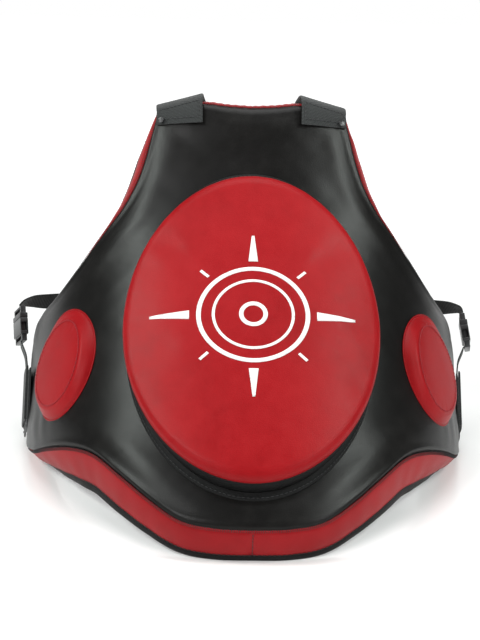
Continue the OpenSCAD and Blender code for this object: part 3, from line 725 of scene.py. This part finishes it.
ang = np.linspace(0, 2 * np.pi, 120, endpoint=False)
circ = lambda r: np.stack([r * np.sin(ang), r * np.cos(ang)], 1)
EZ = 4.0
for nm, r0, r1 in (("target_ring_outer", 46.0, 50.0), ("target_ring_inner", 34.0, 36.6), ("target_ring_centre", 9.0, 13.0)):
    printed_band(nm, circ(r0) + [0, EZ], circ(r1) + [0, EZ], True)
for k, (a, r0, r1, w) in enumerate([(0, 56, 84, 5), (90, 56, 90, 5), (180, 56, 84, 5), (270, 56, 90, 5), (45, 56, 66, 2.6), (135, 56, 66, 2.6), (225, 56, 66, 2.6), (315, 56, 66, 2.6)]):
    s_, c_ = math.sin(R(a)), math.cos(R(a))
    rr = np.linspace(r0, r1, 14)
    ww = np.interp(rr, [r0, r1], [w * 0.9, w * 0.25]) if a % 90 == 0 else np.full(14, w * 0.5)
    mid = np.stack([rr * s_, rr * c_ + EZ], 1)
    side = np.array([c_, -s_])
    printed_band("target_tick_%d" % k, mid - side * ww[:, None], mid + side * ww[:, None], False)

# ------------------------------------------------------------------ side pads
ST_T, ST_Z, ST_R, ST_W, ST_H = 51.5, 178.0, 58.0, 0.90, 7.0
sc_ = surf(ST_T, ST_Z)
sn_ = unit(nrmw(ST_T, ST_Z) + np.array([0, 0, 0.03]))
sw_ = unit(np.array([0, 0, 1.0]) - sn_ * sn_[2])
su_ = np.cross(sw_, sn_)
NS = 112
TS = np.linspace(0, 2 * np.pi, NS, endpoint=False)
s_t = lambda x: np.degrees(np.arcsin(np.minimum(x / HALF_W, 0.9999)))
def foot(r, h):
    p = sc_ + su_ * (r * ST_R * ST_W * np.sin(TS))[:, None] + sw_ * (r * ST_R * np.cos(TS))[:, None]
    d = (p[:, 1] - surf(s_t(p[:, 0]), p[:, 2])[:, 1]) / (sn_[1] - DEPTH / HALF_W * 1.2 * np.tan(R(s_t(p[:, 0]))) * sn_[0])
    p2 = p - sn_ * d[:, None]
    t = s_t(p2[:, 0])
    return surf(t, p2[:, 2]) + nrmw(t, p2[:, 2]) * h
def top_p(r, h, s):
    f = foot(r, 0)
    d = ((sc_ + sn_ * h - f) * sn_).sum(1, keepdims=True)
    return f + sn_ * d - (su_ * (ST_W * np.sin(TS))[:, None] + sw_ * np.cos(TS)[:, None]) * s
for m, side in ((True, "left"), (False, "right")):
    rg, fm = [], [0]
    for r in (0.12, 0.25, 0.38, 0.5, 0.6, 0.7, 0.78, 0.85, 0.9):
        rg.append(top_p(r, ST_H - 0.2 + 0.9 * (1 - r * r), 8.6 * r)); fm.append(0)
    for r, dh, s in ((0.94, -0.1, 8.5), (0.965, -0.35, 8.4), (0.985, -0.75, 8.3)):
        rg.append(top_p(r, ST_H + dh, s)); fm.append(0)
    seam = len(rg) - 1
    f1, t1 = foot(1.0, 0.3), top_p(1.0, ST_H - 1.5, 8.0)
    rg.append(t1); fm.append(0)
    for t in (0.15, 0.35, 0.55, 0.75, 0.9):
        bul = 1.0 * math.sin(math.pi * t ** 1.4)
        rg.append(t1 * (1 - t) + f1 * t + unit(f1 - sc_) * bul * 0.6 + sn_ * bul * 0.8); fm.append(0)
    rg.append(f1); fm.append(0)
    b0 = len(rg) - 1
    for r in (0.66, 0.33):
        rg.append(foot(r, 0.3)); fm.append(0)
    fm.append(0)
    W2 = lambda x: worn(mirror(x, m))
    ct, cb = sc_ + sn_ * (ST_H + 0.8), foot(0.0, 0.3)[0]
    sp = disc_mesh("side_pad_cushion_" + side, [W2(x) for x in rg], [M_RED], fm, W2(ct), W2(cb))
    pins = [1] + [2 + r * NS + k for r in [seam, seam + 1] + list(range(b0, len(rg))) for k in range(NS)]
    puff(sp, pins, 2.0, 0.0018, 16)
    put(sp, "vest", "red_leather", "side_pad_face_" + side, "side_pad_sidewall_" + side, "side_pad_foam_" + side)
    cN = mirror(sn_, m)
    cN = worn(cN) - worn(np.zeros(3))
    topc_ = np.vstack([W2(top_p(0.925, ST_H - 0.15, 8.5)), W2(top_p(0.925, ST_H - 0.15, 8.5))[:1]])
    stitches("side_pad_top_stitch_" + side, topc_, np.repeat(cN[None], len(topc_), 0), M_RTHREAD, pitch=4.2, length=3.0, lift=0.35)
    fr = np.vstack([foot(1.0, 1.0), foot(1.0, 1.0)[:1]])
    cord_ring("side_pad_foot_piping_" + side, W2(foot(1.004, 0.7)), 0.75, M_RED, "red_leather")

# ------------------------------------------------------------------ webbing
def strip(name, P, Wd, wide, thick, mat, edge=0.45):
    """Flat webbing along P with width direction Wd; softly rounded edges."""
    P, Wd = np.asarray(P, float), np.asarray(Wd, float)
    t = unit(tang(P))
    a = unit(Wd - t * (Wd * t).sum(1, keepdims=True))
    b = np.cross(t, a)
    h = thick / 2
    xs = [-1, -0.965, -0.9, -0.5, 0, 0.5, 0.9, 0.965, 1]
    hs = [edge, 0.85, 1, 1, 1, 1, 1, 0.85, edge]
    ring = [(x, -e) for x, e in zip(xs, hs)] + [(x, e) for x, e in zip(xs[::-1], hs[::-1])]
    S = np.stack([P + a * (x * wide / 2) + b * (e * h) for x, e in ring], 1)
    L = np.r_[0, np.cumsum(np.linalg.norm(np.diff(P, axis=0), axis=1))]
    uv = np.stack([np.repeat(L[:, None], len(ring), 1), np.array([[x * wide / 2 for x, _ in ring]] * len(P))], -1) / 1000
    return sweep(name, S, mat, False, uv, 50), a, b

def dense(P, W, n):
    P, W = np.asarray(P, float), np.asarray(W, float)
    both = np.hstack([P, W])
    r = resample(both, np.linalg.norm(np.diff(P, axis=0), axis=1).sum() / n)
    return r[:, :3], r[:, 3:]

SHA, SHB = [64, 351, 330], [34, 393, 210]
SHK = [[74, 275.1, 358.6], [74, 279.3, 367.9], [74, 286.3, 375.8], [74, 302, 378.5], [73, 320, 374], [70, 336, 363], SHA]
SHW = [[1, 0.33, -0.14], [1, 0.33, -0.18], [1, 0.33, -0.26], [1, 0.25, -0.3], [1, 0.15, -0.3], [1, 0.1, -0.26], [0.97, 0.084, -0.24]]
for m, side in ((True, "left"), (False, "right")):
    k = np.linspace(0, 1, 60)
    P = np.vstack([path(SHK, k), SHB])
    Wd = np.vstack([path(SHW, k), [0.97, 0.084, -0.24]])
    P, Wd = dense(P, Wd, 90)
    st, a, b = strip("shoulder_strap_webbing_" + side, standing(mirror(P, m)), mirror(Wd, m), 50, 2.4, M_WEB)
    put(st, "vest", "webbing", "shoulder_strap_" + side)
    Pm = standing(mirror(P, m))
    sg = -1 if m else 1
    # folded end sewn to the front: box of stitches and a row over the fold
    rows = []
    for lo_, xx in ((2, 0), (7, 0)):
        c = Pm[lo_]
        line = np.stack([c + a[lo_] * x for x in np.linspace(-22, 22, 12)])
        nrm_ = b[lo_] * (1 if (b[lo_][1] < 0) else -1)
        stitches("strap_end_stitch_%s_%d" % (side, lo_), line + nrm_ * 1.2, np.repeat(nrm_[None], 12, 0), M_THREAD, pitch=3.8, length=3.0)
    for x in (-22, 22):
        line = np.stack([Pm[i] + a[i] * x + (b[i] if b[i][1] < 0 else -b[i]) * 1.2 for i in range(2, 8)])
        nr = np.stack([(b[i] if b[i][1] < 0 else -b[i]) for i in range(2, 8)])
        stitches("strap_end_side_%s_%s" % (side, "a" if x < 0 else "b"), line, nr, M_THREAD, pitch=3.8, length=3.0)

# copies of moulded nodes with softened edges
def moulded(node, name, mat, body, bevel=0.0006, seg=3):
    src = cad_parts[node]
    me = src.data.copy()
    me.name = name
    bm = bmesh.new()
    bm.from_mesh(me)
    bmesh.ops.remove_doubles(bm, verts=bm.verts, dist=1e-6)
    bmesh.ops.dissolve_limit(bm, angle_limit=R(2), verts=bm.verts, edges=bm.edges)
    bmesh.ops.recalc_face_normals(bm, faces=bm.faces)
    bm.to_mesh(me)
    bm.free()
    me.materials.clear()
    me.materials.append(mat)
    me.polygons.foreach_set("use_smooth", [True] * len(me.polygons))
    ob = bpy.data.objects.new(name, me)
    bpy.context.scene.collection.objects.link(ob)
    bv = ob.modifiers.new("Bevel", "BEVEL")
    bv.width, bv.segments, bv.limit_method, bv.angle_limit = bevel, seg, "ANGLE", R(30)
    bv.harden_normals = True
    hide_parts(node)
    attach(ob, body)
    return ob

for side in ("left", "right"):
    moulded("strap_adjuster_" + side, "adjuster_loop_" + side, M_PLASTIC, "adjuster_" + side, 0.0009)
    moulded("buckle_socket_" + side, "buckle_housing_" + side, M_GREY, "vest", 0.0009)
    moulded("buckle_plug_" + side, "buckle_insert_" + side, M_PLASTIC, "buckle_plug_body_" + side, 0.0009)
    for w in ("front", "rear"):
        moulded("buckle_prong_%s_%s" % (w, side), "buckle_arm_%s_%s" % (w, side), M_PLASTIC, "prong_%s_%s" % (w, side), 0.0005)
rv = moulded("strap_rivets", "rivet_heads", M_RIVET, "vest", 0.0005)

# back patches: two leather faces with a sewn border
def patch(name, y, node, out):
    ct_, rr = [], 14.0
    cn = []
    for (cx, cz, a0) in ((46, 20, 0), (-46, 20, 90), (-46, -20, 180), (46, -20, 270)):
        for an in np.linspace(a0, a0 + 90, 14):
            cn.append([cx + rr * math.cos(R(an)), cz + rr * math.sin(R(an))])
    cn = resample(np.vstack([cn, cn[:1]]), 4.0)[:-1]
    def place(p2, h):
        x, z = p2[:, 0], p2[:, 1]
        yy = np.full(len(p2), y) + out * h
        c, s = math.cos(R(19.3)), math.sin(R(19.3))
        return standing(np.stack([x, 398.5 + yy * c - z * s, 194 + yy * s + z * c], 1))
    rings = []
    for k, h in ((0.15, 1.9), (0.35, 1.9), (0.55, 1.8), (0.72, 1.6), (0.82, 1.1), (0.87, 0.75), (0.92, 1.0), (0.97, 0.9), (1.0, 0.2)):
        rings.append(place(cn * [k + (1 - k) * 0.25 * (k > 0.7), k], h + 0 * cn[:, :1].ravel()) if False else place(cn * k, np.full(len(cn), h)))
    for k in (1.0, 0.6):
        rings.append(place(cn * k, np.full(len(cn), -0.9)))
    ob = disc_mesh(name, rings, [M_BLACK], [0] * (len(rings) + 1), place(np.zeros((1, 2)), np.array([1.9]))[0], place(np.zeros((1, 2)), np.array([-0.9]))[0])
    put(ob, "vest", "black_leather", node)
    line = place(np.vstack([cn, cn[:1]]) * 0.87, np.full(len(cn) + 1, 0.75))
    nr = place(np.zeros((1, 2)), np.array([2.0]))[0] - place(np.zeros((1, 2)), np.array([1.0]))[0]
    stitches(name + "_stitch", line, np.repeat(nr[None], len(line), 0), M_THREAD, pitch=4.0, length=3.0, lift=0.3)
patch("back_patch_leather_outer", -2.7 * -1, "back_patch_outer", 1) if False else None
patch("back_patch_leather_rear", -2.7, "back_patch_inner", -1) if False else None
BOXO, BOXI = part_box("back_patch_outer"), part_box("back_patch_inner")
def patch_y(bx):
    c = (bx[0] + bx[1]) / 2
    cy = c[1] * 1000 + MID_Y - 398.5
    cz = c[2] * 1000 - 194
    return cy * math.cos(R(19.3)) + cz * math.sin(R(19.3))
yo, yi = patch_y(BOXO), patch_y(BOXI)
patch("back_patch_leather_outer", yo, "back_patch_outer", 1 if yo > yi else -1)
patch("back_patch_leather_inner", yi, "back_patch_inner", 1 if yi > yo else -1)

# lower straps: webbing from the buckle round to the back patch, and the anchor webbing at the buckle
BX = {True: 251.5, False: 252.0}
LOW = [[0, 0.86, -0.5], [0.1, 0.8, -0.6], [0.2, 0.5, -0.8], [0.1, 0.3, -0.95], [0, 0.3, -0.95], [0, 0.33, -0.94],
       [0, 0.33, -0.94], [0, 0.33, -0.94], [0, 0.33, -0.94]]
for m, side in ((True, "left"), (False, "right")):
    bx = BX[m]
    K = [[bx + (1.2 if m else -2), 380.4, 130.2], [bx - 4, 384, 135], [238, 389, 135.5], [220, 395, 134], [190, 400, 135.5], [150, 403, 146],
         [105, 404, 161], [66, 405.6, 173.3], [36, 404, 178]]
    k = np.linspace(0, 1, 100)
    P, Wd = path(K, k), path(LOW, k)
    st, a, b = strip("lower_strap_webbing_" + side, standing(mirror(P, m)), mirror(Wd, m), 20, 1.6, M_WEB)
    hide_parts("lower_strap_" + side)
    p0, p1 = standing(mirror(P[6], m)) / 1000, standing(mirror(P[88], m)) / 1000
    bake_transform(st)
    K = [[241, 271, 202], [242, 272.5, 210], [244, 274.5, 220], [bx - 2, 277, 261 - 27.5]]
    k = np.linspace(0, 1, 30)
    P = path(K, k)
    st, a, b = strip("buckle_anchor_webbing_" + side, worn(mirror(P, m)), worn(mirror(np.repeat([[0.17, 1, 0]], 30, 0), m)) - worn(np.zeros(3)), 20, 1.6, M_WEB)
    put(st, "vest", "webbing", "buckle_anchor_" + side)

# waist belt
BZ, AZ_ = 169.0, 161.0
def wing(t, z, h):
    p = surf(t, z) + nrmw(t, z) * h
    p[2] = z
    return p
UPW = worn(np.array([0, 0, 1.0])) - worn(np.zeros(3))
def turn(y):
    return [wing(73.5, BZ, 5.5), wing(77.5, BZ, 5.5), wing(81.5, BZ, 5.7), [243, y - 10, BZ], [237.5, y - 3.2, BZ], [226, y - 0.3, BZ], [205, y, BZ]]
for m, side in ((True, "left"), (False, "right")):
    P = np.array([wing(72.5 + i * 1.5 / 2, AZ_, 2.7) for i in range(13)])
    st, a, b = strip("waist_anchor_webbing_" + side, worn(mirror(P, m)), np.repeat(UPW[None], 13, 0), 68, 2.2, M_WEB)
    put(st, "vest", "webbing", "waist_anchor_" + side)
    outn = b if (b[6] @ (worn(mirror(surf(76.0, AZ_) + nrmw(76.0, AZ_), m)) - worn(mirror(surf(76.0, AZ_), m)))) > 0 else -b
    for i in (1, 11):
        line = np.stack([worn(mirror(P[i], m)) + UPW * z + outn[i] * 1.1 for z in np.linspace(-31, 31, 20)])
        stitches("waist_anchor_stitch_%s_%d" % (side, i), line, np.repeat(outn[i][None], 20, 0), M_THREAD, pitch=4.0, length=3.0)
k = np.linspace(0, 1, 70)
P = np.vstack([path(turn(290.0), k), [[-45, 290.0, BZ]]])
P, Wd = dense(P, np.repeat([[0, 0, 1.0]], len(P), 0), 120)
st, a, b = strip("waist_belt_webbing_left", worn(mirror(P, True)), np.repeat(UPW[None], len(P), 0), 60, 2.6, M_WEB)
put(st, "vest", "webbing", "waist_belt_left")
P = np.vstack([path(turn(295.5), k), [[95.3, 295.5, BZ]]])
P, Wd = dense(P, np.repeat([[0, 0, 1.0]], len(P), 0), 90)
st, a, b = strip("waist_elastic_ribbed", worn(P), np.repeat(UPW[None], len(P), 0), 60, 2.4, M_ELASTIC)
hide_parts("waist_elastic_right")
tuple(worn(np.array([200, 295.5, BZ])) / 1000)
tuple(worn(np.array([100, 295.5, BZ])) / 1000)
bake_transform(st)
def straight(name, x0, x1, y, thick, h, mat, body, slot, node, n=24):
    P = np.stack([np.linspace(x0, x1, n), np.full(n, y), np.full(n, BZ)], 1)
    st, a, b = strip(name, worn(P), np.repeat(UPW[None], n, 0), h, thick, mat)
    put(st, body, slot, node)
straight("waist_belt_end_webbing", -45, 95.3, 295.5, 2.6, 60, M_WEB, "belt_end", "webbing", "waist_belt_end")
straight("loop_patch_pile", -72, 43, 292.0, 1.1, 52, M_PILE, "vest", "hook_and_loop", "loop_patch")
straight("hook_patch_bed", -42, 32, 293.45, 1.1, 52, M_HOOK, "belt_end", "hook_and_loop", "hook_patch")
Y1 = worn(np.array([0, 1.0, 0])) - worn(np.zeros(3))
def belt_rows(name, body, xs0, xs1, y, h):
    for s in (-1, 1):
        line = worn(np.stack([np.linspace(xs0, xs1, 30), np.full(30, y), np.full(30, BZ + s * h)], 1))
        stitches("%s_%s" % (name, "top" if s > 0 else "low"), line, np.repeat(Y1[None], 30, 0), M_THREAD, body=body, pitch=4.2, length=3.1)
    for k, x in enumerate((xs0, xs1)):
        line = worn(np.stack([np.full(12, x), np.full(12, y), BZ + np.linspace(-h, h, 12)], 1))
        stitches("%s_end_%d" % (name, k), line, np.repeat(Y1[None], 12, 0), M_THREAD, body=body, pitch=4.2, length=3.1)
belt_rows("belt_end_stitch", "belt_end", -41, 32, 296.85, 25)
line = worn(np.stack([np.full(14, 90.0), np.full(14, 296.85), BZ + np.linspace(-27, 27, 14)], 1))
stitches("elastic_join_stitch", line, np.repeat(Y1[None], 14, 0), M_THREAD, body="belt_end", pitch=3.6, length=2.8)

# ------------------------------------------------------------------ floor and light
def floor():
    me = bpy.data.meshes.new("floor")
    s = 6.0
    me.from_pydata([(-s, -s, 0), (s, -s, 0), (s, s, 0), (-s, s, 0)], [], [(0, 1, 2, 3)])
    m = Mat("floor_pale", 0.16, 0.5)
    v = m.coord()
    nz = m.noise(v, 1.5, 2.0)
    ln = m.n("ShaderNodeVectorMath", operation="LENGTH")
    m.l(v, ln.inputs[0])
    em = m.n("ShaderNodeMapRange", interpolation_type="SMOOTHSTEP")
    m.l(ln.outputs["Value"], em.inputs[0])
    for i, x in ((1, 0.35), (2, 1.7), (3, 0.14), (4, 0.92)):
        em.inputs[i].default_value = x
    m.b.inputs["Emission Color"].default_value = (1, 1, 1, 1)
    m.l(em.outputs[0], m.b.inputs["Emission Strength"])
    m.done(m.ramp(nz, [(0.2, (0.88, 0.88, 0.88)), (0.8, (0.90, 0.90, 0.90))]))
    me.materials.append(m.m)
    ob = bpy.data.objects.new("floor", me)
    bpy.context.scene.collection.objects.link(ob)

floor()

def area(name, pos, aim, size, power, color=(1, 1, 1)):
    d = bpy.data.lights.new(name, "AREA")
    d.shape = "RECTANGLE"
    d.size, d.size_y = size
    d.energy = power
    d.color = color
    o = bpy.data.objects.new(name, d)
    bpy.context.scene.collection.objects.link(o)
    o.location = pos
    o.visible_camera = False
    o.rotation_euler = (Vector(aim) - Vector(pos)).to_track_quat("-Z", "Y").to_euler()

area("key_soft", (-1.5, -1.7, 1.5), (0, -0.05, 0.2), (0.8, 1.0), 26)
area("fill_soft", (1.7, -1.5, 1.2), (0, -0.05, 0.2), (0.8, 1.1), 15)
area("top_soft", (0, 0.1, 2.0), (0, 0.0, 0), (1.6, 1.2), 24)
area("left_high", (-1.1, -0.28, 1.05), (-0.11, -0.14, 0.08), (0.27, 0.27), 9.0, (0.93, 1.0, 0.95))
area("right_high", (0.98, -0.42, 1.12), (0.10, -0.14, 0.08), (0.27, 0.27), 8.0, (0.93, 1.0, 0.95))
area("back_soft", (0, 2.2, 1.6), (0, 0.1, 0.2), (2.0, 1.2), 12)
w = bpy.data.worlds.new("studio")
w.use_nodes = True
w.node_tree.nodes["Background"].inputs[0].default_value = (1, 1, 1, 1)
wt_ = w.node_tree
lp = wt_.nodes.new("ShaderNodeLightPath")
bg2 = wt_.nodes.new("ShaderNodeBackground")
bg2.inputs[0].default_value, bg2.inputs[1].default_value = (1, 1, 1, 1), 1.0
wt_.nodes["Background"].inputs[1].default_value = 0.14
mxs = wt_.nodes.new("ShaderNodeMixShader")
wt_.links.new(lp.outputs["Is Camera Ray"], mxs.inputs[0])
wt_.links.new(wt_.nodes["Background"].outputs[0], mxs.inputs[1])
wt_.links.new(bg2.outputs[0], mxs.inputs[2])
wt_.links.new(mxs.outputs[0], wt_.nodes["World Output"].inputs[0])
bpy.context.scene.world = w

sc = bpy.context.scene
sc.view_settings.view_transform = "Standard"

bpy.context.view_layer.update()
